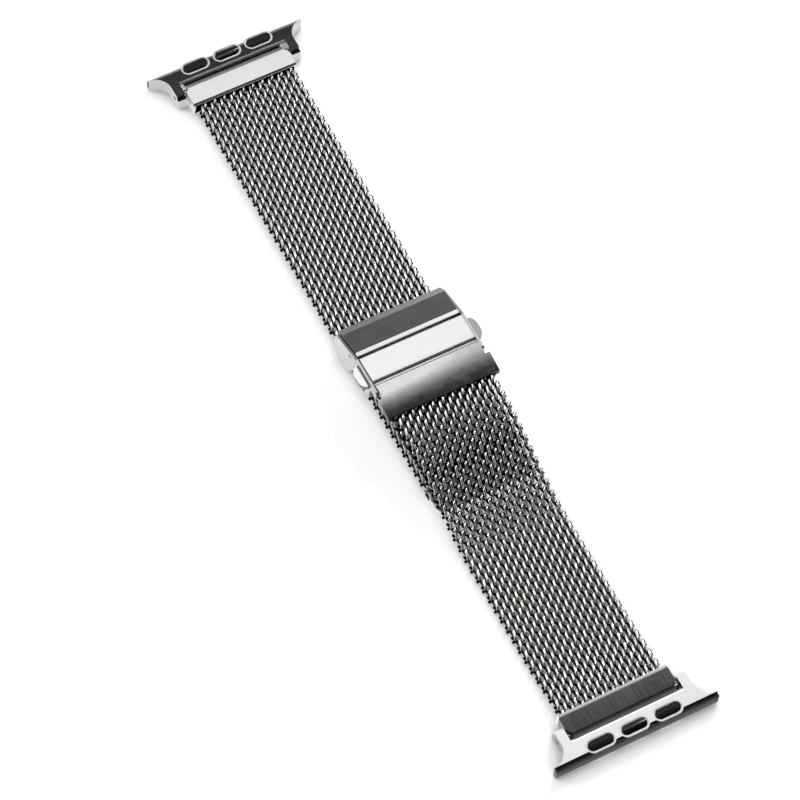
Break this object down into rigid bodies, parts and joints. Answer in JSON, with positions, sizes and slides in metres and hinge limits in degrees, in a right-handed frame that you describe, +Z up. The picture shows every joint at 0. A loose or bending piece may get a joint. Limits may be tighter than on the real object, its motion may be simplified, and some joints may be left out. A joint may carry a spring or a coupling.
{
  "type": "mesh watch band",
  "caption": "Woven steel mesh watch band in two halves with a folding push-button clasp, a lock flap for its length, and slide-in end adapters on spring bars.",
  "frame": {"origin": "middle of the band's bounding box in X and Y, on the surface that the band lies on face up", "axes": "+X across the band, +Y along it from the fixed half over the clasp to the adjustable half, +Z up out of the clasp's face"},
  "size_m": [0.033, 0.1648, 0.0099],
  "materials": {
    "mesh_wire": "bright drawn wire, woven and flattened",
    "clasp_steel": "fine brushed across the band",
    "flap_steel": "dark brushed across, polished bevel",
    "polished_steel": "mirror polished",
    "adapter_steel": "satin, with polished edges",
    "pad_rubber": "smooth black",
    "spring_wire": "drawn spring wire"
  },
  "bodies": {
    "clasp_base": {"lock_box": "clasp_steel", "button_frame": "clasp_steel", "frame_rivets": "polished_steel", "flap_pin": "polished_steel", "arm_pin": "polished_steel", "button_spring_left": "spring_wire", "button_spring_right": "spring_wire"},
    "lock_flap": {"lock_flap": "flap_steel"},
    "button_left": {"button_left": "polished_steel"},
    "button_right": {"button_right": "polished_steel"},
    "folding_arm": {"folding_arm": "clasp_steel", "cover_pin": "polished_steel"},
    "cover": {"cover_plate": "polished_steel", "end_cover": "clasp_steel", "strap_anchor": "clasp_steel", "lower_mesh_root": "mesh_wire"},
    "lower_mesh_a": {"lower_mesh_a": "mesh_wire"},
    "lower_mesh_b": {"lower_mesh_b": "mesh_wire"},
    "lower_mesh_c": {"lower_mesh_c": "mesh_wire"},
    "lower_end": {"lower_mesh_end": "mesh_wire", "lower_end_cap": "clasp_steel", "lower_bar_tube": "polished_steel", "lower_bar_tips": "polished_steel", "lower_bar_spring": "spring_wire"},
    "lower_adapter": {"lower_adapter": "adapter_steel", "lower_pads": "pad_rubber", "lower_latch_plate": "adapter_steel", "lower_latch_spring": "spring_wire"},
    "lower_latch": {"lower_latch": "polished_steel"},
    "slider": {"slider_mesh": "mesh_wire", "strap_tip": "polished_steel"},
    "upper_mesh_a": {"upper_mesh_a": "mesh_wire"},
    "upper_mesh_b": {"upper_mesh_b": "mesh_wire"},
    "upper_end": {"upper_mesh_end": "mesh_wire", "upper_end_cap": "clasp_steel", "upper_bar_tube": "polished_steel", "upper_bar_tips": "polished_steel", "upper_bar_spring": "spring_wire"},
    "upper_adapter": {"upper_adapter": "adapter_steel", "upper_pads": "pad_rubber", "upper_latch_plate": "adapter_steel", "upper_latch_spring": "spring_wire"},
    "upper_latch": {"upper_latch": "polished_steel"}
  },
  "joints": [
    {"name": "strap_adjust", "type": "slide", "parent": "clasp_base", "child": "slider", "axis": [0, 1, 0], "range_m": [0, 0.024]},
    {"name": "flap_open", "type": "hinge", "parent": "clasp_base", "child": "lock_flap", "pos_m": [0, 0.01124, 0.0062], "axis": [-1, 0, 0], "range_deg": [0, 90]},
    {"name": "button_press_left", "type": "slide", "parent": "clasp_base", "child": "button_left", "axis": [1, 0, 0], "range_m": [0, 0.0007], "stiffness_N_per_m": 400, "springref_m": -0.001, "deforming": ["button_spring_left"]},
    {"name": "button_press_right", "type": "slide", "parent": "clasp_base", "child": "button_right", "axis": [-1, 0, 0], "range_m": [0, 0.0007], "stiffness_N_per_m": 400, "springref_m": -0.001, "deforming": ["button_spring_right"]},
    {"name": "arm_open", "type": "hinge", "parent": "clasp_base", "child": "folding_arm", "pos_m": [0, -0.00696, 0.0047], "axis": [1, 0, 0], "range_deg": [0, 165]},
    {"name": "cover_open", "type": "hinge", "parent": "folding_arm", "child": "cover", "pos_m": [0, 0.00324, 0.0058], "axis": [1, 0, 0], "range_deg": [-165, 0]},
    {"name": "lower_bend_0", "type": "hinge", "parent": "cover", "child": "lower_mesh_a", "pos_m": [0, -0.01021, 0.008], "axis": [1, 0, 0], "range_deg": [-50, 0]},
    {"name": "lower_bend_1", "type": "hinge", "parent": "lower_mesh_a", "child": "lower_mesh_b", "pos_m": [0, -0.03083, 0.00237], "axis": [1, 0, 0], "range_deg": [-25, 38]},
    {"name": "lower_bend_2", "type": "hinge", "parent": "lower_mesh_b", "child": "lower_mesh_c", "pos_m": [0, -0.04537, 0.00095], "axis": [1, 0, 0], "range_deg": [-25, 38]},
    {"name": "lower_bend_3", "type": "hinge", "parent": "lower_mesh_c", "child": "lower_end", "pos_m": [0, -0.06006, 0.00095], "axis": [1, 0, 0], "range_deg": [-25, 38]},
    {"name": "lower_swivel", "type": "hinge", "parent": "lower_end", "child": "lower_adapter", "pos_m": [0, -0.07649, 0.0017], "axis": [1, 0, 0], "range_deg": [-60, 75]},
    {"name": "lower_latch_press", "type": "slide", "parent": "lower_adapter", "child": "lower_latch", "axis": [0, 0, -1], "range_m": [0, 0.0007], "stiffness_N_per_m": 150, "springref_m": -0.001, "deforming": ["lower_latch_spring"]},
    {"name": "upper_bend_1", "type": "hinge", "parent": "slider", "child": "upper_mesh_a", "pos_m": [0, 0.01596, 0.0017], "axis": [-1, 0, 0], "range_deg": [-25, 38]},
    {"name": "upper_bend_2", "type": "hinge", "parent": "upper_mesh_a", "child": "upper_mesh_b", "pos_m": [0, 0.03404, 0.0017], "axis": [-1, 0, 0], "range_deg": [-25, 38]},
    {"name": "upper_bend_3", "type": "hinge", "parent": "upper_mesh_b", "child": "upper_end", "pos_m": [0, 0.05212, 0.0017], "axis": [-1, 0, 0], "range_deg": [-25, 38]},
    {"name": "upper_swivel", "type": "hinge", "parent": "upper_end", "child": "upper_adapter", "pos_m": [0, 0.07649, 0.0017], "axis": [-1, 0, 0], "range_deg": [-60, 75]},
    {"name": "upper_latch_press", "type": "slide", "parent": "upper_adapter", "child": "upper_latch", "axis": [0, 0, -1], "range_m": [0, 0.0007], "stiffness_N_per_m": 150, "springref_m": -0.001, "deforming": ["upper_latch_spring"]}
  ],
  "couplings": [
    {"joint": "arm_open", "follows": "cover_open", "ratio": -1}
  ]
}
